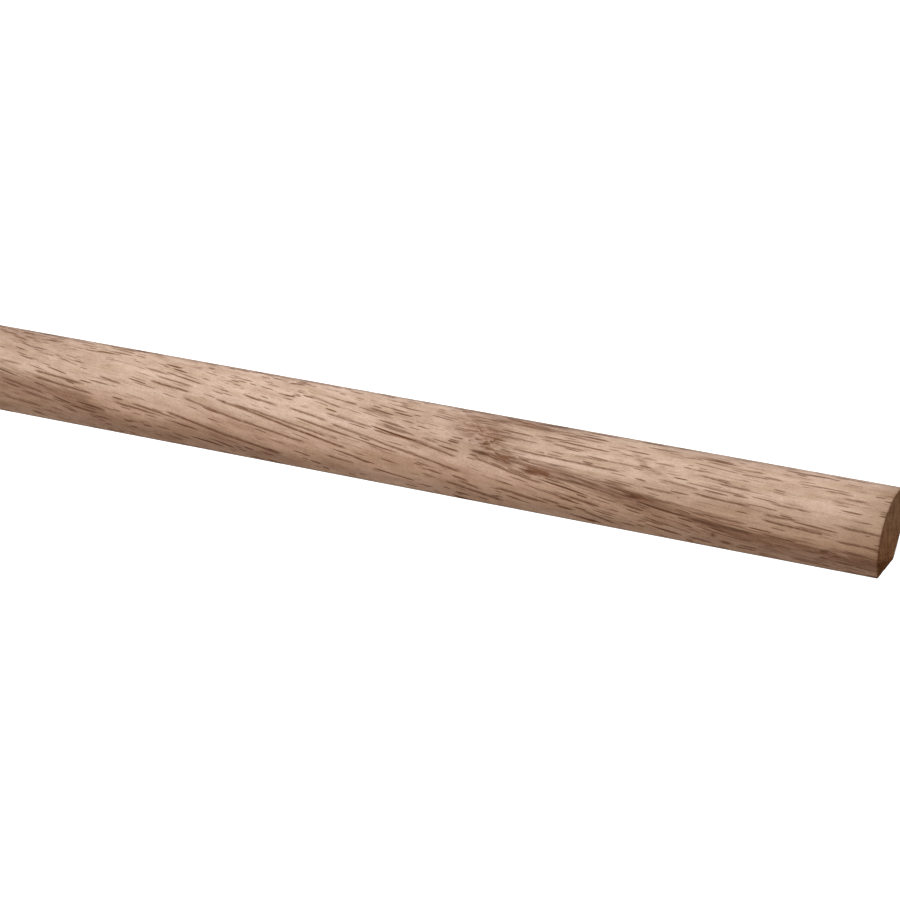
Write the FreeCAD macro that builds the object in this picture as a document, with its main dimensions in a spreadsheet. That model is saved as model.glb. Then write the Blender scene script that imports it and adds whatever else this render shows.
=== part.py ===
"""Quarter round moulding: one stick of machined hardwood, lying on its flat foot.

Row frame in millimetres: X along the stick, Y from the toe (-Y, towards the room) to the back (+Y, towards the
wall), Z up. The origin is the centre of the bounding box's underside, halfway along the stick.

The section, looking along +X, is a quarter round with two short lands and a relief bevel:

             top land
              _____
           .-'     |   back leg, set against the wall
         .'        |
        /  convex  |
       |   face   /
  toe  |        /      relief bevel, 45 degrees, in place of the hidden square corner
  land |______/
        foot, set on the floor
"""

import FreeCAD
import Part
import Sketcher
import os

doc = FreeCAD.newDocument("quarter_round_moulding")

# ---------------------------------------------------------------- driving dimensions
sheet = doc.addObject("Spreadsheet::Sheet", "Dimensions")
rows = [
    ("stock_length", "1981.2", "overall length: a 78 in stick"),
    ("leg_width", "19.05", "width across the floor: 3/4 in"),
    ("leg_height", "19.05", "height up the wall: 3/4 in"),
    ("toe_land", "2.4", "flat at each end of the convex face"),
    ("relief_bevel", "7.4", "leg of the 45 degree bevel on the hidden corner"),
    ("arris_radius", "0.35", "sanding radius on the four long arrises"),
]
for i, (alias, value, note) in enumerate(rows, start=1):
    sheet.set("A%d" % i, value)
    sheet.setAlias("A%d" % i, alias)
    sheet.set("B%d" % i, note)
doc.recompute()

L = float(sheet.stock_length)
W = float(sheet.leg_width)
H = float(sheet.leg_height)
T = float(sheet.toe_land)
B = float(sheet.relief_bevel)

# ---------------------------------------------------------------- the stick
body = doc.addObject("PartDesign::Body", "QuarterRound")
body.Label = "quarter_round"
yz = [f for f in body.Origin.OriginFeatures if f.Role == "YZ_Plane"][0]

sk = body.newObject("Sketcher::SketchObject", "Section")
sk.AttachmentSupport = [(yz, "")]
sk.MapMode = "FlatFace"

V = FreeCAD.Vector
toe, back = -W / 2, W / 2
foot = sk.addGeometry(Part.LineSegment(V(toe, 0, 0), V(back - B, 0, 0)), False)
bevel = sk.addGeometry(Part.LineSegment(V(back - B, 0, 0), V(back, B, 0)), False)
wall = sk.addGeometry(Part.LineSegment(V(back, B, 0), V(back, H, 0)), False)
top = sk.addGeometry(Part.LineSegment(V(back, H, 0), V(back - T, H, 0)), False)
round_ = sk.addGeometry(
    Part.ArcOfCircle(
        Part.Circle(V(toe + W - T, T, 0), V(0, 0, 1), W - T),
        1.5707963267948966,
        3.141592653589793,
    ),
    False,
)
front = sk.addGeometry(Part.LineSegment(V(toe, T, 0), V(toe, 0, 0)), False)

C = Sketcher.Constraint
START, END = 1, 2
ROOT = -1  # the sketch's own axes: -1 is horizontal, and its start point is the origin
sk.addConstraint(
    [
        C("Coincident", foot, END, bevel, START),
        C("Coincident", bevel, END, wall, START),
        C("Coincident", wall, END, top, START),
        C("Tangent", top, END, round_, START),
        C("Tangent", round_, END, front, START),
        C("Coincident", front, END, foot, START),
        C("Horizontal", foot),
        C("Vertical", wall),
        C("Horizontal", top),
        C("Vertical", front),
        C("PointOnObject", foot, START, ROOT),
    ]
)


def dim(kind, *refs, name, expression):
    """Adds a driving dimension and binds it to the sheet."""
    n = sk.addConstraint(C(kind, *refs))
    sk.renameConstraint(n, name)
    sk.setExpression("Constraints." + name, expression)


dim("DistanceX", foot, START, ROOT, START, W / 2, name="half_width", expression="Dimensions.leg_width / 2")
dim("DistanceX", foot, START, wall, START, W, name="across", expression="Dimensions.leg_width")
dim("DistanceY", foot, START, wall, END, H, name="up", expression="Dimensions.leg_height")
dim("DistanceY", foot, START, front, START, T, name="toe_flat", expression="Dimensions.toe_land")
dim("DistanceX", bevel, START, bevel, END, B, name="bevel_across", expression="Dimensions.relief_bevel")
dim("DistanceY", bevel, START, bevel, END, B, name="bevel_up", expression="Dimensions.relief_bevel")
doc.recompute()

pad = body.newObject("PartDesign::Pad", "Stick")
pad.Profile = sk
pad.Length = L
pad.setExpression("Length", "Dimensions.stock_length")
pad.Midplane = True
doc.recompute()

# the four long arrises that meet at an angle are eased; the lands run tangent into the round face
corners = [(toe, 0), (back - B, 0), (back, B), (back, H)]
names = []
for i, edge in enumerate(pad.Shape.Edges, start=1):
    a, b = edge.Vertexes[0].Point, edge.Vertexes[-1].Point
    if abs(abs(a.x - b.x) - L) > 1e-6:
        continue
    if any(abs(a.y - y) < 1e-6 and abs(a.z - z) < 1e-6 for y, z in corners):
        names.append("Edge%d" % i)
if len(names) != 4:
    raise SystemExit("expected four long arrises, found %d" % len(names))
ease = body.newObject("PartDesign::Fillet", "EasedArrises")
ease.Base = (pad, names)
ease.Radius = 0.35
ease.setExpression("Radius", "Dimensions.arris_radius")
body.Tip = ease
doc.recompute()

# ---------------------------------------------------------------- tests, then the file
for obj in doc.Objects:
    if "Invalid" in obj.State or "Error" in obj.State:
        raise SystemExit("%s failed: %s" % (obj.Name, obj.State))
if sk.solve() != 0:
    raise SystemExit("the section's constraints don't solve")
parts = [body]
for p in parts:
    s = p.Shape
    if s.isNull() or not s.isValid() or len(s.Solids) != 1:
        raise SystemExit("%s has no single valid solid" % p.Label)

box = body.Shape.BoundBox
print(
    "section area %.2f mm2, volume %.1f cm3, centre of mass %s"
    % (body.Shape.Volume / L, body.Shape.Volume / 1000, body.Shape.Solids[0].CenterOfMass)
)
print("box x %.3f..%.3f y %.3f..%.3f z %.3f..%.3f" % (box.XMin, box.XMax, box.YMin, box.YMax, box.ZMin, box.ZMax))
print("degrees of freedom left in the section:", sk.solve(), "fully constrained:", sk.FullyConstrained)

os.makedirs("parts", exist_ok=True)
for p in parts:
    p.Shape.exportStep("parts/%s.step" % p.Label)
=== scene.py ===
import bpy
import math
import numpy as np
from mathutils import Matrix, Vector


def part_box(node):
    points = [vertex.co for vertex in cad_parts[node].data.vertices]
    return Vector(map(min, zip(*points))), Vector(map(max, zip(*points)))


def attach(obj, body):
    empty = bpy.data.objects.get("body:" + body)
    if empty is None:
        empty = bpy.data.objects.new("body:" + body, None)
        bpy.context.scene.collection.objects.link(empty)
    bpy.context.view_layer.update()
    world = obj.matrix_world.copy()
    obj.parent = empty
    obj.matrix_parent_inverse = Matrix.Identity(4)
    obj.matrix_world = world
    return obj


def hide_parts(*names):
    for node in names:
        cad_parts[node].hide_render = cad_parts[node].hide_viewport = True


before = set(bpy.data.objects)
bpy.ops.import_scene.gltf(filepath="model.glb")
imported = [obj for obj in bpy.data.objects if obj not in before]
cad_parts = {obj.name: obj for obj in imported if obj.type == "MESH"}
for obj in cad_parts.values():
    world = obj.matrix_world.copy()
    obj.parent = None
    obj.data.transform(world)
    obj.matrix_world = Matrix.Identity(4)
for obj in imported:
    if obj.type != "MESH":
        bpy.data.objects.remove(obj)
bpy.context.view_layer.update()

# ================================================================ the stick's sizes, in millimetres, as in the CAD
low, high = (np.array(v) * 1000.0 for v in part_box("quarter_round"))
LENGTH = float(high[0] - low[0])
LEG = float(high[2] - low[2])
LAND = 2.4
BEVEL = 7.4
ROUND = LEG - LAND
ARRIS = 0.35
TOE, BACK = float(low[1]), float(high[1])
END = float(high[0])
MM = 0.001

# ================================================================ camera, at the photograph's viewing angle
AZ, EL, ROLL = (math.radians(a) for a in (29.898, 27.519, -4.327))
FOCAL_PX, DEPTH = 3574.08, 978.007
TOE_PX = (877.269, 579.071)

back_dir = Vector((math.sin(AZ) * math.cos(EL), -math.cos(AZ) * math.cos(EL), math.sin(EL)))
level = Vector((math.cos(AZ), math.sin(AZ), 0.0))
upright = back_dir.cross(level)
right = level * math.cos(ROLL) + upright * math.sin(ROLL)
up = upright * math.cos(ROLL) - level * math.sin(ROLL)
aside = (TOE_PX[0] - 450.0) / FOCAL_PX * DEPTH
above = -(TOE_PX[1] - 450.0) / FOCAL_PX * DEPTH
toe = Vector((END, TOE, 0.0))
eye = (toe - right * aside - up * above + back_dir * DEPTH) * MM

cam_data = bpy.data.cameras.new("photo_camera")
cam_data.sensor_fit = "HORIZONTAL"
cam_data.sensor_width = 36.0
cam_data.lens = 36.0 * FOCAL_PX / 900.0
cam_data.clip_start = 0.01
cam_data.clip_end = 1000.0
cam = bpy.data.objects.new("photo_camera", cam_data)
m = Matrix((right, up, back_dir)).transposed().to_4x4()
m.translation = eye
cam.matrix_world = m
bpy.context.scene.collection.objects.link(cam)
bpy.context.scene.camera = cam

# ================================================================ the section, as an ordered loop of points


def corner(cy, cz, a0, a1, r, n):
    a = np.radians(np.linspace(a0, a1, n))
    return [(cy + r * math.cos(t), cz + r * math.sin(t)) for t in a]


def run(p, q, n):
    """The points inside a straight run, without its ends."""
    f = np.linspace(0, 1, n + 1)[1:-1]
    return [(p[0] + (q[0] - p[0]) * t, p[1] + (q[1] - p[1]) * t) for t in f]


k = ARRIS * math.tan(math.radians(22.5))
foot_in = BACK - BEVEL
d45 = k / math.sqrt(2)


def section(land, arc, flat):
    """The section as a closed loop from the inner edge of the foot, by way of the toe, the round and the back, to the
    bevel. land, arc and flat are the numbers of spans on each land, on the round and on each hidden side."""
    pts = [(foot_in - k, 0.0)]
    pts += run(pts[0], (TOE + ARRIS, 0.0), flat)
    pts += corner(TOE + ARRIS, ARRIS, 270, 180, ARRIS, 5)
    pts += run((TOE, ARRIS), (TOE, LAND), land)
    pts += corner(TOE + ROUND, LAND, 180, 90, ROUND, arc)
    pts += run((BACK - LAND, LEG), (BACK - ARRIS, LEG), land)
    pts += corner(BACK - ARRIS, LEG - ARRIS, 90, 0, ARRIS, 5)
    pts += run((BACK, LEG - ARRIS), (BACK, BEVEL + k), flat)
    pts += corner(BACK - ARRIS, BEVEL + k, 0, -45, ARRIS, 4)
    pts += run(pts[-1], (foot_in + d45, d45), flat // 2)
    pts += corner(foot_in - k, ARRIS, -45, -90, ARRIS, 4)[:-1]
    return np.array(pts)


def lengths(pts):
    """How far round the section each point is, from the first, and the whole girth."""
    gaps = np.linalg.norm(np.roll(pts, -1, 0) - pts, axis=1)
    c = np.concatenate([[0], np.cumsum(gaps)])
    return c[:-1], float(c[-1])


fine, coarse = section(8, 100, 10), section(3, 36, 8)
fine_at, girth = lengths(fine)
coarse_at, girth2 = lengths(coarse)
coarse_at = coarse_at * girth / girth2

# stations along the stick: close together on the end that is seen near, wider beyond
CHANGE = END - 306.0
near = [END, END - 0.35, END - 0.8, END - 1.5]
near += list(np.linspace(near[-1], CHANGE, 270))[1:]
far = list(np.linspace(CHANGE, -END + 1.5, 430))[1:] + [-END + 0.8, -END + 0.35, -END]

# place: how far round the section a point of the skin is, or -1 inside a sawn end. For the points inside a sawn end,
# rim_of is the point of the skin's edge that they lie in from, and scale how far out from the middle they are.
verts, place, faces = [], [], []
NF, NC = len(fine), len(coarse)
for x in near:
    verts.append(np.c_[np.full(NF, x), fine])
    place.append(fine_at)
for x in far:
    verts.append(np.c_[np.full(NC, x), coarse])
    place.append(coarse_at)


def belt(first, second, n):
    j = np.arange(n)
    jn = (j + 1) % n
    return np.stack([first + j, first + jn, second + jn, second + j], -1).tolist()


for i in range(len(near) - 1):
    faces += belt(i * NF, (i + 1) * NF, NF)
start = len(near) * NF
for i in range(len(far) - 1):
    faces += belt(start + i * NC, start + (i + 1) * NC, NC)

# the fine loop meets the coarse one in a belt of triangles
first = (len(near) - 1) * NF
i = j = 0
while i < NF or j < NC:
    next_f = fine_at[i + 1] if i + 1 < NF else girth
    next_c = coarse_at[j + 1] if j + 1 < NC else girth
    if i < NF and (j >= NC or next_f <= next_c):
        faces.append([first + i % NF, first + (i + 1) % NF, start + j % NC])
        i += 1
    else:
        faces.append([first + i % NF, start + (j + 1) % NC, start + j % NC])
        j += 1
SIDES = len(faces)

# the sawn ends, as rings that close in on the middle
mid = np.array([0.55, 8.97])
shrink = (0.985, 0.955, 0.91, 0.85, 0.78, 0.7, 0.61, 0.51, 0.41, 0.31, 0.21, 0.11)
count = start + len(far) * NC
rim_of, scale = [np.arange(count)], [np.full(count, 1.0)]
for side, x, pts, first in ((0, END, fine, 0), (1, -END, coarse, count - NC)):
    n = len(pts)
    rings = [np.arange(n) + first]
    for f in shrink:
        verts.append(np.c_[np.full(n, x), mid + (pts - mid) * f])
        place.append(np.full(n, -1.0))
        rim_of.append(np.arange(n) + first)
        scale.append(np.full(n, f))
        rings.append(np.arange(n) + count)
        count += n
    verts.append(np.array([[x, *mid]]))
    place.append(np.array([-1.0]))
    rim_of.append(np.array([first]))
    scale.append(np.array([0.0]))
    hub = count
    count += 1
    for r0, r1 in zip(rings[:-1], rings[1:]):
        for q in range(n):
            loop4 = [r0[q], r0[(q + 1) % n], r1[(q + 1) % n], r1[q]]
            faces.append(loop4 if side == 1 else loop4[::-1])
    for q in range(n):
        tri = [rings[-1][q], rings[-1][(q + 1) % n], hub]
        faces.append(tri if side == 1 else tri[::-1])
verts = np.concatenate(verts)
place = np.concatenate(place)
rim_of = np.concatenate(rim_of)
scale = np.concatenate(scale)
skin = place >= 0

# t is the distance from the near end (0, and negative along the stick), y and z are measured from the toe corner,
# down is the way round from the back arris (0) over the top land and the round to the toe (about 31)
P = verts.copy()
t = P[:, 0] - END
y = P[:, 1] - TOE
z = P[:, 2]
top_back = float(fine_at[np.argmax(fine.sum(1))])
down = np.where(skin, top_back - place, 99.0)

# ================================================================ the tree inside the stick
# Everything here is a smooth function of place in the solid, so the figure runs through the stick from face to face
# and out at its sawn ends. All in millimetres.
grid = np.arange(-2 * END - 20.0, 21.0, 1.0)


def smooth(values, width):
    n = int(4 * width) | 1
    kernel = np.exp(-0.5 * ((np.arange(n) - n // 2) / width) ** 2)
    padded = np.pad(values, n // 2, mode="edge")
    return np.convolve(padded, kernel / kernel.sum(), mode="valid")


def curve(points, width=6.0):
    """A smooth curve through (t, value) pairs, on the grid along the stick."""
    pts = sorted(points)
    return smooth(np.interp(grid, [q[0] for q in pts], [q[1] for q in pts]), width)


def at(values):
    return np.interp(t, grid, values)


def total(slopes):
    """The integral of a slope along the stick, zero at the near end."""
    c = np.cumsum(slopes)
    return c - np.interp(0.0, grid, c)


def waves(u, seed, longest, shortest, n):
    """A smooth random curve of height about 1, as a sum of sines."""
    g = np.random.default_rng(seed)
    length = np.exp(g.uniform(math.log(shortest), math.log(longest), n))
    phase = g.uniform(0, 2 * math.pi, n)
    return sum(np.sin(2 * math.pi * u / w + f) for w, f in zip(length, phase)) / math.sqrt(n / 2)


# how steeply the fibres run towards the toe (y) and down (z) along the stick
dy = curve([(20, 0.05), (-60, 0.06), (-110, 0.08), (-250, 0.08), (-320, 0.06), (-420, 0.03), (-520, -0.01), (-640, -0.03),
            (-760, -0.01), (-880, 0.04), (-1000, 0.06), (-1120, 0.05), (-1240, 0.01), (-1380, -0.02), (-1500, 0.02),
            (-1650, 0.06), (-1800, 0.05), (-2000, 0.02)], 20)
dz = curve([(20, 0.06), (-60, 0.08), (-110, 0.12), (-250, 0.12), (-320, 0.09), (-420, 0.05), (-520, 0.02), (-640, -0.02),
            (-760, -0.03), (-880, 0.0), (-1000, 0.05), (-1120, 0.08), (-1240, 0.05), (-1380, 0.0), (-1500, -0.02),
            (-1650, 0.02), (-1800, 0.06), (-2000, 0.05)], 20)
run_y, run_z = total(dy), total(dz)

# a swirl in the fibres, round the brown patch on the upper face
near_patch = np.exp(-(((t + 125) / 9.0) ** 2) - ((y - 9.0) / 7.0) ** 2 - ((z - 17.5) / 5.0) ** 2)
wander_y = 0.10 * waves(t, 11, 60, 18, 9) + 0.25 * waves(t + 3 * z, 12, 160, 50, 6)
wander_z = 0.10 * waves(t + 5 * y, 13, 60, 18, 9) + 0.25 * waves(t, 14, 160, 50, 6)
curl = near_patch * waves(t + 0.8 * down, 15, 16.0, 8.0, 5)

main_y = y + at(run_y) + wander_y + 0.8 * near_patch + 0.35 * curl
main_z = z + at(run_z) + wander_z - 2.4 * near_patch - 0.25 * curl

# beyond the brown patch the upper face is a straighter-grained layer of the tree
calm_y = y + 0.014 * t + 0.6 * wander_y + 40.0
calm_z = z + 0.05 * t + 0.6 * wander_z + 40.0

# growth rings: distance from the heart of the tree, which lies below and in front of the stick. Each edge is where a
# dark late ring stops: (place along the stick, ring distance) pairs and their smoothing. The depth of colour of
# each, how sharp its edge is and how far the brown fades below it are in the material.
ring = np.hypot(y + 25.0, z + 70.0)
edge_lines = [
    ([(20, 78.0), (0, 79.3), (-30, 80.6), (-45, 82.0), (-60, 84.5), (-78, 86.5), (-105, 88.2), (-117, 90.7), (-124, 94.4),
      (-137, 98.7), (-150, 106), (-170, 130)], 2.5),
    ([(-160, 66), (-180, 76), (-190, 78), (-203, 79.6), (-217, 82), (-226, 82), (-236, 79), (-246, 79.5), (-252, 81.5), (-261, 84.5),
      (-276, 86.5), (-291, 87), (-330, 91), (-370, 97), (-420, 108), (-450, 125)], 3.5),
    ([(-330, 60), (-380, 72), (-430, 79), (-500, 84), (-600, 86.5), (-700, 86), (-780, 83), (-850, 84), (-920, 89), (-1000, 96), (-1060, 110)], 12),
    ([(-860, 60), (-930, 70), (-1000, 76.5), (-1080, 82), (-1160, 88), (-1240, 92), (-1330, 93), (-1420, 91.5), (-1510, 92), (-1600, 96), (-1680, 106)], 12),
    ([(-1360, 60), (-1440, 70), (-1520, 76), (-1600, 79), (-1700, 84), (-1800, 90), (-1900, 95), (-2010, 100)], 12),
]
edge_gaps = [ring - at(curve(pts, width)) for pts, width in edge_lines]
# the first is darkest where it leaves the brown patch, then comes and goes towards the near end
lead = at(curve([(-160, 0.0), (-140, 0.1), (-126, 0.5), (-113, 0.9), (-98, 0.9), (-90, 0.8), (-80, 0.9), (-70, 0.9), (-62, 0.5), (-54, 0.75), (-46, 0.85),
                 (-40, 0.8), (-28, 0.72), (-16, 0.8), (10, 0.75)], 2.0))
fade_0 = at(curve([(-160, 0.55), (-98, 0.55), (-86, 0.8), (-74, 1.0), (20, 1.0)], 4.0))
lead_1 = at(curve([(-2000, 1.0), (-258, 1.0), (-249, 0.5), (-236, 0.35), (-222, 0.6), (-204, 0.6), (-186, 0.4), (-170, 0.3)], 3.0))
# the wood is a duller tan towards the near end, most of all half way down the round, and in a few places further along
dull = at(curve([(20, 1.0), (-4, 1.0), (-14, 0.75), (-30, 0.66), (-50, 0.6), (-80, 0.4), (-105, 0.05), (-130, 0.0), (-240, 0.0),
                 (-270, 0.22), (-300, 0.2), (-420, 0.35), (-560, 0.1), (-760, 0.4), (-940, 0.0), (-1180, 0.35), (-1400, 0.1),
                 (-1620, 0.4), (-1800, 0.1), (-2000, 0.3)], 3.5))
dull = dull * (0.35 + 0.65 * np.exp(-(((down - 19.5) / 5.5) ** 2)))
dull = np.minimum(dull + 0.55 * np.exp(-((t / 7.0) ** 2)) / (1 + np.exp((np.minimum(down, 40.0) - 27.5) / 0.8)), 1.0)
ringed = ring + 0.7 * at(run_z) + 0.6 * wander_y

# ---------------------------------------------------------------- marks on the near end's visible face
# Placed to the nearest half millimetre. Everything between them comes from the lattices in the material.
# brown stains: place along the stick, down, half length, half width, slope, depth of colour
stains = [
    (-131, 5, 3.5, 1.0, 0.1, 0.5), (-134, 7.5, 3.0, 1.2, 0.2, 0.5), (-133.5, 10, 3.0, 1.2, 0.15, 0.5),
    (-122.5, 13.5, 4.0, 2.5, 0.2, 0.85), (-117, 16.0, 5.0, 1.8, 0.2, 1.0), (-104.5, 18.5, 6.0, 1.5, 0.15, 1.0), (-120.5, 8, 4.5, 1.3, 0.1, 0.45), (-118, 5.5, 5.0, 1.0, 0.15, 0.4),
    (-123, 16, 3.5, 0.9, 0.15, 0.9), (-116, 17, 3.0, 1.2, 0.3, 1.0), (-106, 18.5, 5.0, 1.3, 0.1, 1.0),
    (-125.5, 8.0, 13.0, 7.0, 0.1, 0.7), (-113, 2.5, 17.0, 3.0, 0.0, 0.72), (-161, 9, 5.0, 1.0, 0.1, 0.6), (-153.5, 4.5, 2.0, 1.5, 0.4, 0.55),
    (-164, 5, 2.0, 1.0, 0.5, 0.35), (-72, 20.5, 6.0, 1.1, 0.1, 1.0), (-75, 9.5, 4.5, 1.3, 0.8, 0.45), (-70, 12, 3.0, 0.8, 0.2, 0.45), (-75, 22.5, 6.5, 1.5, 0.1, 0.5),
    (-49, 27, 1.2, 0.8, 0.0, 0.95), (-45.5, 28.5, 2.2, 0.6, 0.05, 0.95), (-14, 26.5, 9.0, 1.2, 0.1, 0.7),
    (-284, 2.5, 4.0, 1.0, 0.25, 0.5), (-270, 1.5, 3.5, 0.8, 0.1, 0.5), (-288, 5, 4.5, 1.2, 0.1, 0.4),
    # the long faint one at -66 along the top edge is painted shade that darkens the top row
    (-286, 4.5, 18.0, 5.5, 0.1, 0.3), (-66, 2.5, 32.0, 3.5, 0.0, 0.18), (-112, 5.5, 14.0, 5.0, 0.05, 0.32), (-150, 8.5, 14.0, 5.0, 0.1, 0.22), (-120, 11.5, 4.0, 2.5, 0.2, 0.8),
]
patch = np.zeros(len(P))
for t0, s0, half_t, half_s, slope, depth in stains:
    along, off = t - t0, down - s0 - slope * (t - t0)
    patch = np.maximum(patch, depth * np.exp(-np.abs(along / half_t) ** 2.4 - np.abs(off / half_s) ** 2.2))

# the longest and darkest vessels there: points (along, down), width and depth of colour
vessels = [
    ([(-279, 16), (-260, 17.5)], 0.55, 0.95), ([(-278, 18), (-256, 20)], 0.55, 0.95), ([(-290, 20), (-273, 22.5)], 0.5, 0.85),
    ([(-256, 14), (-247, 15.5)], 0.6, 0.95), ([(-249, 21), (-234, 22.5)], 0.5, 0.9), ([(-230, 21), (-210, 24.5), (-189, 27.5)], 0.6, 1.0),
    ([(-238, 12.5), (-223, 14)], 0.6, 1.0), ([(-237, 10.5), (-223, 12)], 0.5, 0.9), ([(-258, 26), (-249, 27)], 0.5, 0.9),
    ([(-286, 8), (-277, 8.5)], 0.5, 0.8), ([(-292, 14.5), (-284, 15)], 0.5, 0.8), ([(-289, 25.5), (-274, 27)], 0.5, 0.8),
    ([(-225, 16), (-205, 19.5), (-181, 22.5)], 0.5, 0.9), ([(-214, 14.5), (-198, 17), (-180, 20), (-167, 22)], 0.55, 1.0),
    ([(-208, 15), (-192, 17), (-174, 19.5)], 0.5, 0.85), ([(-189, 13), (-175, 15)], 0.55, 0.95), ([(-185, 7.5), (-172, 10)], 0.5, 0.9),
    ([(-177, 12.5), (-160, 14.5)], 0.5, 0.85), ([(-174, 15.5), (-155, 18.5), (-129, 22.5)], 0.55, 0.9),
    ([(-158, 12.5), (-146, 14.5)], 0.5, 0.9), ([(-160, 15), (-146, 16), (-131, 18.5)], 0.55, 0.95), ([(-202, 12), (-193, 13)], 0.5, 0.9),
    ([(-174, 25), (-164, 26)], 0.5, 0.85), ([(-170, 23), (-161, 24.5)], 0.5, 0.85), ([(-214, 5.5), (-210, 6.5)], 0.5, 0.9),
    ([(-144, 14.5), (-138, 15.5)], 0.5, 0.9), ([(-128, 15.5), (-121, 16.5)], 0.6, 1.0), ([(-126, 17.5), (-113, 20), (-102, 21.5)], 0.5, 0.9),
    ([(-115, 13), (-100, 13.5), (-80, 14)], 0.5, 0.95), ([(-134, 26), (-124, 27.5), (-115, 29)], 0.55, 0.95),
    ([(-130, 25), (-122, 26.5)], 0.55, 0.95), ([(-117, 25), (-100, 27)], 0.5, 0.9), ([(-101, 19), (-91, 19.5), (-77, 21.5)], 0.55, 0.95),
    ([(-98, 17.5), (-86, 19)], 0.5, 0.9), ([(-96, 23.5), (-84, 25)], 0.6, 0.95), ([(-90, 27), (-79, 29.5)], 0.55, 0.9),
    ([(-108, 8), (-103, 8)], 0.45, 0.85), ([(-103, 9), (-92, 9.5)], 0.45, 0.8), ([(-95, 11.5), (-73, 11.5)], 0.45, 0.75),
    ([(-60, 9), (-53, 9)], 0.5, 0.9), ([(-39, 7), (-32, 7.5)], 0.5, 0.9), ([(-57, 10.5), (-46, 11.5)], 0.5, 0.9),
    ([(-51, 12), (-40, 12.5)], 0.5, 0.9), ([(-68, 14), (-55, 15)], 0.45, 0.8), ([(-55, 16.5), (-39, 17)], 0.5, 0.95),
    ([(-73, 17), (-62, 17.5)], 0.5, 0.85), ([(-35, 18.5), (-24, 18.5)], 0.5, 0.9), ([(-35, 20), (-16, 21)], 0.55, 0.95),
    ([(-54, 21.5), (-40, 22)], 0.5, 0.9), ([(-13, 22), (1, 22.5)], 0.5, 0.9), ([(-12, 18), (1, 18.5)], 0.5, 0.85),
    ([(-34, 15), (-21, 15.5)], 0.45, 0.85), ([(-20, 8), (-11, 8)], 0.5, 0.85), ([(-14, 9.5), (-6, 9.5)], 0.5, 0.9),
    ([(-58, 23.5), (-37, 24.5)], 0.9, 0.9), ([(-72, 26), (-64, 27)], 0.5, 0.85), ([(-57, 29), (-49, 29.5)], 0.5, 0.9),
]
hand = np.zeros(len(P))
shiver = 0.03 * waves(t, 31, 30.0, 9.0, 8) + 0.012 * waves(t + 2 * down, 32, 6.0, 2.5, 8)
uneven = np.clip(0.9 + 0.15 * waves(t + 9 * down, 33, 9.0, 1.5, 10), 0.4, 1.1)
for pts, width, depth in vessels:
    u, v = np.array(pts, float).T
    rows = np.flatnonzero(skin & (t > u[0] - 1.5) & (t < u[-1] + 1.5) & (down > v.min() - 2) & (down < v.max() + 2))
    f = np.clip((t[rows] - u[0]) / (u[-1] - u[0]), 0, 1)
    taper = np.clip(f * (1 - f) * (u[-1] - u[0]) / 1.6, 0, 1)
    off = np.abs(down[rows] - np.interp(t[rows], u, v) - shiver[rows]) / (0.6 * width * np.maximum(taper, 0.02) ** 0.35)
    hand[rows] = np.maximum(hand[rows], depth * taper**0.5 * uneven[rows] * np.exp(-(off**2.2)))

# ================================================================ the end's edges, a little rubbed and chipped
inward = mid - P[:, 1:]
inward /= np.maximum(np.linalg.norm(inward, axis=1), 1e-6)[:, None]
rough = 0.10 + 0.05 * waves(place, 41, 9.0, 0.9, 12)
rough += 0.2 * np.exp(-(((down - 6.4) / 0.8) ** 2)) + 0.4 * np.exp(-(((down - 10.2) / 0.75) ** 4)) + 0.2 * np.exp(-(((down - 24.0) / 0.5) ** 2))
depth_in = np.clip(1 - (END - np.abs(P[:, 0])) / 0.8, 0, 1) ** 2
push = np.clip(rough, 0.02, 0.6) * depth_in * skin
push = push[rim_of] * np.clip(1 - (1 - scale) / 0.09, 0, 1)
verts[:, 1:] += inward * push[:, None]

me = bpy.data.meshes.new("quarter_round_wood")
me.from_pydata((verts * MM).tolist(), [], [[int(v) for v in f] for f in faces])
me.validate()
me.update()
wood = bpy.data.objects.new("quarter_round_wood", me)
bpy.context.scene.collection.objects.link(wood)
print("points round the section", NF, NC, "triangles", sum(len(p.vertices) - 2 for p in me.polygons))

# the unrolled skin as three strips, one above the other, with the sawn ends beside them
uv = me.uv_layers.new(name="OFBake")
STRIP = LENGTH / 3
corners = np.zeros((len(me.loops), 2))
for p in me.polygons:
    v = np.array(p.vertices)
    q = np.array(p.loop_indices)
    if skin[v].all() and p.index < SIDES:
        strip = min(2, int((P[v, 0].mean() + END) / STRIP))
        round_by = place[v].copy()
        if round_by.max() - round_by.min() > girth / 2:
            round_by[round_by < girth / 2] += girth
        corners[q, 0] = 0.012 + 0.865 * (P[v, 0] + END - strip * STRIP) / STRIP
        corners[q, 1] = 0.008 + 0.334 * strip + 0.315 * round_by / girth
    else:
        sawn = 0 if P[v, 0].mean() > 0 else 1
        corners[q, 0] = 0.900 + 0.092 * (P[v, 1] - TOE) / (BACK - TOE)
        corners[q, 1] = 0.02 + 0.5 * sawn + 0.45 * P[v, 2] / LEG
uv.data.foreach_set("uv", corners.ravel())

# how close a point is to the edge of a sawn end, on the end and on the skin
inside = np.zeros(len(P))
inside[~skin] = 1
edge_loop = fine
away = np.full(len(P), 99.0)
for i in np.flatnonzero(inside):
    away[i] = np.min(np.hypot(*(edge_loop - P[i, 1:]).T))
rim = np.where(skin, np.exp(-(END - np.abs(P[:, 0])) / 0.35), np.exp(-away / 0.9))
corner_dark = np.exp(-((y / 4.5) ** 2) - (z / 5.5) ** 2)


def give(name, kind, values):
    att = me.attributes.new(name, kind, "POINT")
    att.data.foreach_set("vector" if kind == "FLOAT_VECTOR" else "value", np.ascontiguousarray(values, np.float32).ravel())


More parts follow.
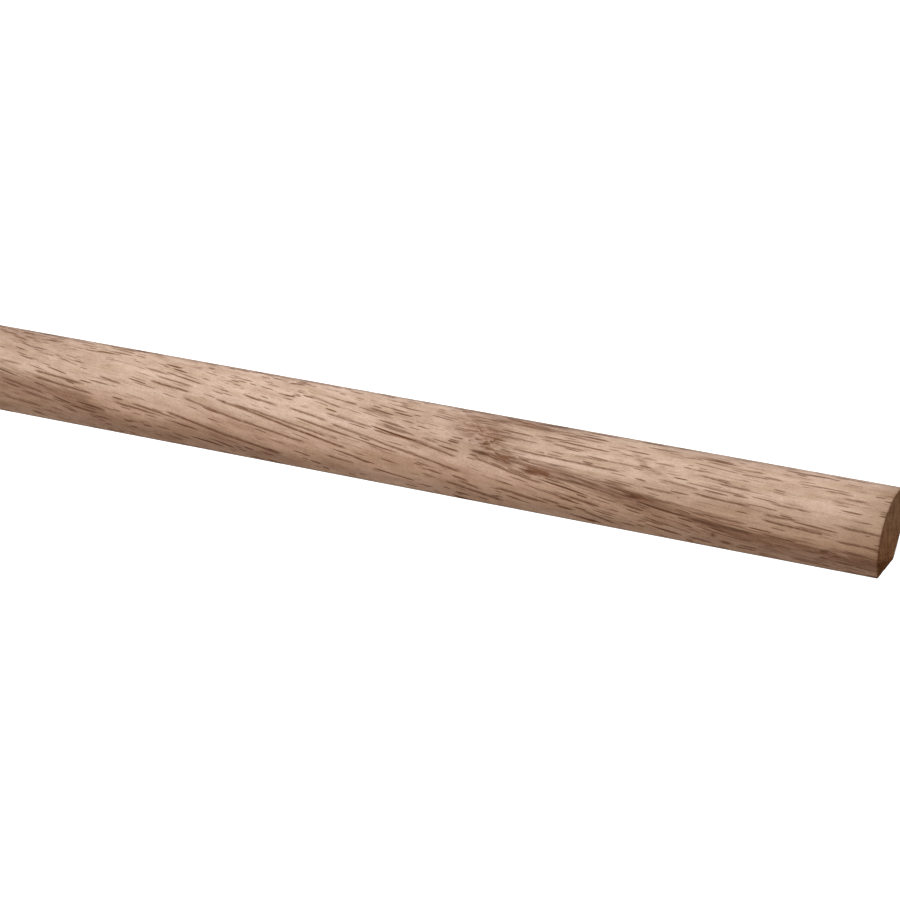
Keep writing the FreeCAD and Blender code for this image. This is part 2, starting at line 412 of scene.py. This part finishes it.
give("grain_main", "FLOAT_VECTOR", np.c_[t, main_y, main_z])
give("grain_calm", "FLOAT_VECTOR", np.c_[t, calm_y, calm_z])
give("rings", "FLOAT_VECTOR", np.c_[t, ringed, ring])
for i, g in enumerate(edge_gaps):
    give("edge_%d" % i, "FLOAT", g)
give("lead", "FLOAT", lead)
give("fade_0", "FLOAT", fade_0)
give("lead_1", "FLOAT", lead_1)
give("dull", "FLOAT", dull)
give("patch", "FLOAT", patch)
give("vessel", "FLOAT", hand)
give("rim", "FLOAT", rim)
give("broad", "FLOAT", 1.0 + 0.35 * np.exp(-((down / 7.0) ** 2)))
give("soft", "FLOAT", 1.0 - 0.16 * np.exp(-np.abs(down / 7.0) ** 3))
# painted shade along the top back arris, darkened and greyed in the material
give("arris", "FLOAT", np.exp(-np.abs(down / 1.4) ** 3))
give("corner_dark", "FLOAT", corner_dark)

# ================================================================ the wood's material


class Tree:
    """A few shorthands for building a node tree."""

    def __init__(self, tree):
        self.nodes, self.links = tree.nodes, tree.links

    def put(self, socket, value):
        if isinstance(value, bpy.types.NodeSocket):
            self.links.new(value, socket)
        elif value is not None:
            socket.default_value = value

    def math(self, op, a, b=None, c=None, clamp=False):
        n = self.nodes.new("ShaderNodeMath")
        n.operation, n.use_clamp = op, clamp
        for s, v in zip(n.inputs, (a, b, c)):
            self.put(s, v)
        return n.outputs[0]

    def vec(self, op, a, b=None, c=None):
        n = self.nodes.new("ShaderNodeVectorMath")
        n.operation = op
        for s, v in zip(n.inputs, (a, b, c)):
            self.put(s, v)
        return n.outputs["Value" if op in ("LENGTH", "DOT_PRODUCT", "DISTANCE") else "Vector"]

    def step(self, value, lo, hi, a=0.0, b=1.0):
        """Goes smoothly from a at lo to b at hi."""
        n = self.nodes.new("ShaderNodeMapRange")
        n.interpolation_type = "SMOOTHSTEP"
        for s, v in zip(n.inputs, (value, lo, hi, a, b)):
            self.put(s, v)
        return n.outputs[0]

    def line(self, value, lo, hi, a=0.0, b=1.0):
        n = self.nodes.new("ShaderNodeMapRange")
        for s, v in zip(n.inputs, (value, lo, hi, a, b)):
            self.put(s, v)
        return n.outputs[0]

    def noise(self, vector, size, detail=2.0, rough=0.5):
        """Noise with features about size millimetres, from 0.3 to 0.7 for the most part."""
        n = self.nodes.new("ShaderNodeTexNoise")
        n.noise_dimensions = "3D"
        self.put(n.inputs["Vector"], self.vec("MULTIPLY", vector, tuple(1 / s for s in size)))
        n.inputs["Scale"].default_value = 1.0
        n.inputs["Detail"].default_value = detail
        n.inputs["Roughness"].default_value = rough
        return n.outputs["Fac"] if "Fac" in n.outputs else n.outputs[0]

    def mix(self, factor, a, b, blend="MIX"):
        n = self.nodes.new("ShaderNodeMix")
        n.data_type, n.blend_type = "RGBA", blend
        self.put(n.inputs[0], factor)
        self.put(n.inputs[6], a)
        self.put(n.inputs[7], b)
        return n.outputs[2]

    def attribute(self, name, out="Fac"):
        n = self.nodes.new("ShaderNodeAttribute")
        n.attribute_type, n.attribute_name = "GEOMETRY", name
        return n.outputs[out]

    def split(self, vector):
        n = self.nodes.new("ShaderNodeSeparateXYZ")
        self.put(n.inputs[0], vector)
        return n.outputs

    def pores(self, grain, along, across, half, radius, keep, shift=0.0, broad=None):
        """Vessels: one spindle in each cell of a stretched lattice. half and radius are (least, most) in mm."""
        n = self.nodes.new("ShaderNodeTexVoronoi")
        n.voronoi_dimensions, n.feature, n.distance = "3D", "F1", "EUCLIDEAN"
        scaled = self.vec("MULTIPLY_ADD", grain, (1 / along, 1 / across, 1 / across), (shift, shift, shift))
        self.put(n.inputs["Vector"], scaled)
        n.inputs["Scale"].default_value = 1.0
        n.inputs["Randomness"].default_value = 1.0
        away = self.vec("MULTIPLY", self.vec("SUBTRACT", scaled, n.outputs["Position"]), (along, across, across))
        dx, dp, dq = self.split(away)
        rnd = self.nodes.new("ShaderNodeSeparateColor")
        self.put(rnd.inputs[0], n.outputs["Color"])
        length = self.line(self.math("POWER", rnd.outputs[0], 1.4), 0, 1, *half)
        width = self.line(rnd.outputs[1], 0, 1, *radius)
        if broad is not None:
            width = self.math("MULTIPLY", width, broad)
        out = self.math("POWER", self.math("ABSOLUTE", self.math("DIVIDE", dx, length)), 3.0)
        side2 = self.math("ADD", self.math("MULTIPLY", dp, dp), self.math("MULTIPLY", dq, dq))
        far = self.math("ADD", out, self.math("DIVIDE", side2, self.math("MULTIPLY", width, width)))
        shape = self.step(far, 0.65, 1.15, 1.0, 0.0)
        there = self.math("LESS_THAN", rnd.outputs[2], keep)
        depth = self.line(rnd.outputs[2], 0, keep, 1.0, 0.6)
        return self.math("MULTIPLY", self.math("MULTIPLY", shape, there), depth)


def wood_material(name, end_grain):
    mat = bpy.data.materials.new(name)
    mat.use_nodes = True
    T = Tree(mat.node_tree)
    shader = mat.node_tree.nodes["Principled BSDF"]
    rings = T.attribute("rings", "Vector")
    edge = [T.attribute("edge_%d" % i) for i in range(len(edge_lines))]

    grain = T.nodes.new("ShaderNodeMix")
    grain.data_type = "VECTOR"
    T.put(grain.inputs[0], T.math("GREATER_THAN", edge[0], 0.0))
    T.put(grain.inputs[4], T.attribute("grain_main", "Vector"))
    T.put(grain.inputs[5], T.attribute("grain_calm", "Vector"))
    grain = grain.outputs[1]

    # a fine tremble, so that no vessel is a ruled line
    tremble = T.noise(grain, (15.0, 3.0, 3.0), 1.0)
    shake = T.nodes.new("ShaderNodeCombineXYZ")
    T.put(shake.inputs[1], T.line(tremble, 0.2, 0.8, -0.09, 0.09))
    T.put(shake.inputs[2], T.line(tremble, 0.2, 0.8, 0.09, -0.09))
    shaken = T.vec("ADD", grain, shake.outputs[0])

    fibre = T.noise(grain, (14.0, 0.5, 0.5), 3.0, 0.6)
    fleck = T.noise(grain, (0.7, 0.3, 0.3), 2.0, 0.6)
    cloud = T.noise(grain, (30.0, 3.6, 3.6), 2.0, 0.55)
    smudge = T.noise(grain, (5.0, 2.0, 2.0), 2.0, 0.55)
    hue = T.noise(grain, (20.0, 3.0, 3.0), 1.0, 0.5)
    clump = T.noise(grain, (22.0, 3.2, 3.2), 1.0, 0.5)
    bands = T.noise(rings, (900.0, 1.7, 1.7), 2.0, 0.6)

    broad = T.attribute("broad")
    big = T.pores(shaken, 42.0, 1.15, (5.0, 20.0), (0.22, 0.36), 0.95, 0.0, broad)
    more = T.pores(shaken, 14.5, 0.75, (1.8, 6.2), (0.155, 0.26), 0.9, 31.3, broad)
    small = T.pores(shaken, 13.0, 0.6, (1.6, 6.0), (0.09, 0.17), 0.85, 13.7)
    big = T.math("MAXIMUM", big, T.math("MULTIPLY", more, 0.9))
    big = T.math("MULTIPLY", big, T.line(T.math("MULTIPLY_ADD", T.attribute("patch"), 0.3, clump), 0.35, 0.46, 0.15, 1.0))
    pores = T.math("MAXIMUM", T.math("MAXIMUM", big, T.attribute("vessel")), T.math("MULTIPLY", small, 0.35))
    pores = T.math("MULTIPLY", pores, T.math("MULTIPLY", T.attribute("soft"), 0.5) if end_grain else T.attribute("soft"))

    # ground colour, with a painted warm shade from the ring distance: browner and darker low on the round, towards the
    # toe
    colour = T.mix(T.step(hue, 0.38, 0.62), (0.590, 0.424, 0.333, 1), (0.575, 0.416, 0.314, 1))
    colour = T.mix(1.0, colour, T.mix(T.step(T.split(rings)[2], 78.0, 92.0), (1.0, 0.868, 0.775, 1), (1, 1, 1, 1)), "MULTIPLY")
    colour = T.mix(T.attribute("dull"), colour, T.mix(1.0, colour, (0.66, 0.61, 0.54, 1), "MULTIPLY"))
    tone = T.math("ADD", T.line(cloud, 0.32, 0.68, -0.17, 0.38), T.line(bands, 0.3, 0.7, -0.1, 0.22))
    tone = T.math("ADD", tone, T.line(smudge, 0.32, 0.68, -0.12, 0.24))
    tone = T.math("ADD", tone, T.line(fibre, 0.3, 0.7, -0.05, 0.12), None, True)
    colour = T.mix(T.math("MULTIPLY", tone, 0.85), colour, T.mix(1.0, colour, (0.55, 0.44, 0.345, 1), "MULTIPLY"))

    # the late rings: brown below a sharp edge, which follows the fibres in and out
    ragged = T.math("ADD", T.line(fibre, 0.3, 0.7, -1.1, 1.1), T.line(T.noise(grain, (30.0, 0.9, 0.9), 2.0, 0.6), 0.3, 0.7, -1.2, 1.2))
    brown = None
    for i, (sharp, fade, depth) in enumerate(((0.9, 4.6, 1.0), (1.4, 7.5, 0.66), (0.8, 6.5, 0.75), (0.7, 6.0, 0.85), (1.0, 6.5, 0.75))):
        gap = T.math("ADD", edge[i], ragged)
        reach = T.math("MULTIPLY", T.attribute("fade_0"), -fade) if i == 0 else -fade
        one = T.math("MULTIPLY", T.step(gap, -sharp, sharp, depth, 0.0), T.math("EXPONENT", T.math("MULTIPLY", T.math("POWER", T.math("DIVIDE", T.math("MINIMUM", gap, 0.0), reach), 2.0), -1.0)))
        if i < 2:
            one = T.math("MULTIPLY", one, T.attribute(("lead", "lead_1")[i]))
        brown = one if brown is None else T.math("MAXIMUM", brown, one)
    brown = T.math("MULTIPLY", brown, T.line(fibre, 0.3, 0.7, 0.72, 1.15), None, True)
    blotch = T.math("MULTIPLY", T.attribute("patch"), T.line(T.noise(grain, (5.0, 0.6, 0.6), 2.0, 0.6), 0.35, 0.65, 0.65, 1.45), None, True)
    stained = T.math("MAXIMUM", brown, blotch)
    colour = T.mix(stained, colour, T.mix(1.0, colour, (0.32, 0.205, 0.135, 1), "MULTIPLY"))

    # vessels
    colour = T.mix(T.math("MULTIPLY", pores, T.line(stained, 0.0, 1.0, 1.0, 0.65)), colour, T.mix(1.0, colour, (0.24, 0.118, 0.042, 1), "MULTIPLY"))
    colour = T.mix(1.0, colour, T.mix(T.line(fleck, 0.25, 0.75, 0.0, 1.0), (0.83, 0.82, 0.81, 1), (1.17, 1.17, 1.17, 1)), "MULTIPLY")
    rim = T.attribute("rim")
    if end_grain:
        upright = T.line(T.noise(T.attribute("grain_main", "Vector"), (1.0, 1.3, 9.0), 2.0, 0.6), 0.3, 0.7, 0.0, 1.0)
        colour = T.mix(1.0, colour, T.mix(upright, (0.92, 0.725, 0.53, 1), (0.64, 0.47, 0.34, 1)), "MULTIPLY")
        colour = T.mix(T.math("MULTIPLY", rim, 0.6), colour, T.mix(1.0, colour, (0.74, 0.68, 0.64, 1), "MULTIPLY"))
        colour = T.mix(T.math("MULTIPLY", T.attribute("corner_dark"), 0.35), colour, T.mix(1.0, colour, (0.5, 0.5, 0.46, 1), "MULTIPLY"))
    else:
        # painted shade: the top back arris darker and greyer, mottled by the smudge noise
        arris_shade = T.math("MULTIPLY", T.attribute("arris"), T.line(smudge, 0.35, 0.65, 0.65, 1.0))
        colour = T.mix(arris_shade, colour, T.mix(1.0, colour, (0.50, 0.46, 0.45, 1), "MULTIPLY"))
        # painted shade: the skin darker in a thin band along the edge of each sawn end
        colour = T.mix(T.math("MULTIPLY", rim, 0.7), colour, T.mix(1.0, colour, (0.4, 0.3, 0.22, 1), "MULTIPLY"))
    T.put(shader.inputs["Base Color"], colour)

    T.put(shader.inputs["Roughness"], T.line(T.math("MAXIMUM", pores, stained), 0, 1, 0.56, 0.74))
    shader.inputs["Specular IOR Level"].default_value = 0.0 if end_grain else 0.22

    relief = T.math("ADD", T.math("MULTIPLY", pores, -1.0), T.math("MULTIPLY", fibre, 0.25))
    relief = T.math("ADD", relief, T.math("MULTIPLY", fleck, 0.18))
    if end_grain:
        # saw marks, across the end
        relief = T.math("ADD", relief, T.math("MULTIPLY", T.noise(rings, (1.0, 5.0, 0.35), 2.0, 0.6), 0.8))
    bump = T.nodes.new("ShaderNodeBump")
    T.put(bump.inputs["Height"], relief)
    bump.inputs["Strength"].default_value = 0.5
    bump.inputs["Distance"].default_value = 0.00012
    T.put(shader.inputs["Normal"], bump.outputs[0])
    return mat


me.materials.append(wood_material("open_grained_wood", False))
me.materials.append(wood_material("sawn_end_grain", True))
for p in me.polygons:
    side_face = p.index < SIDES
    p.use_smooth = side_face
    p.material_index = 0 if side_face else 1

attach(wood, "root")
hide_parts("quarter_round")

# ================================================================ floor
fm = bpy.data.meshes.new("floor")
S = 150.0
fm.from_pydata([(-S, -S, 0), (S, -S, 0), (S, S, 0), (-S, S, 0)], [], [(0, 1, 2, 3)])
floor = bpy.data.objects.new("floor", fm)
bpy.context.scene.collection.objects.link(floor)
fmat = bpy.data.materials.new("floor")
fmat.use_nodes = True
fb = fmat.node_tree.nodes["Principled BSDF"]
fb.inputs["Base Color"].default_value = (0.8, 0.8, 0.8, 1)
fb.inputs["Roughness"].default_value = 0.9
fb.inputs["Specular IOR Level"].default_value = 0.1
fb.inputs["Emission Color"].default_value = (1, 1, 1, 1)
fb.inputs["Emission Strength"].default_value = 0.5
fm.materials.append(fmat)
floor.visible_diffuse = False

# ================================================================ light
LOW, HIGH = 0.02, 0.05
SUNS = [("key", (0.2, -0.29, 0.94), 3.9, 40), ("back_fill", (-0.25, 0.95, 0.10), 1.5, 24)]
world = bpy.data.worlds.new("studio")
bpy.context.scene.world = world
world.use_nodes = True
wn, wl = world.node_tree.nodes, world.node_tree.links
bg = wn["Background"]
tc = wn.new("ShaderNodeTexCoord")
sep = wn.new("ShaderNodeSeparateXYZ")
ramp = wn.new("ShaderNodeValToRGB")
wl.new(tc.outputs["Generated"], sep.inputs[0])
half = wn.new("ShaderNodeMath"); half.operation = "MULTIPLY_ADD"
half.inputs[1].default_value = 0.5; half.inputs[2].default_value = 0.5
wl.new(sep.outputs["Z"], half.inputs[0])
wl.new(half.outputs[0], ramp.inputs[0])
wl.new(ramp.outputs[0], bg.inputs[0])
cr = ramp.color_ramp
cr.elements[0].position = 0.0; cr.elements[0].color = (LOW, LOW, LOW, 1)
cr.elements[1].position = 1.0; cr.elements[1].color = (HIGH, HIGH, HIGH, 1)
for pos, v in ((0.484, LOW), (0.488, 1.0), (0.542, 1.0), (0.56, HIGH)):
    el = cr.elements.new(pos); el.color = (v, v, v, 1)
bg.inputs[1].default_value = 1.0

for name, d, energy, angle in SUNS:
    sun = bpy.data.lights.new(name, "SUN")
    sun.energy = energy
    sun.angle = math.radians(angle)
    so = bpy.data.objects.new(name, sun)
    so.rotation_euler = Vector(d).to_track_quat("Z", "Y").to_euler()
    bpy.context.scene.collection.objects.link(so)

bpy.context.scene.view_settings.view_transform = "Standard"
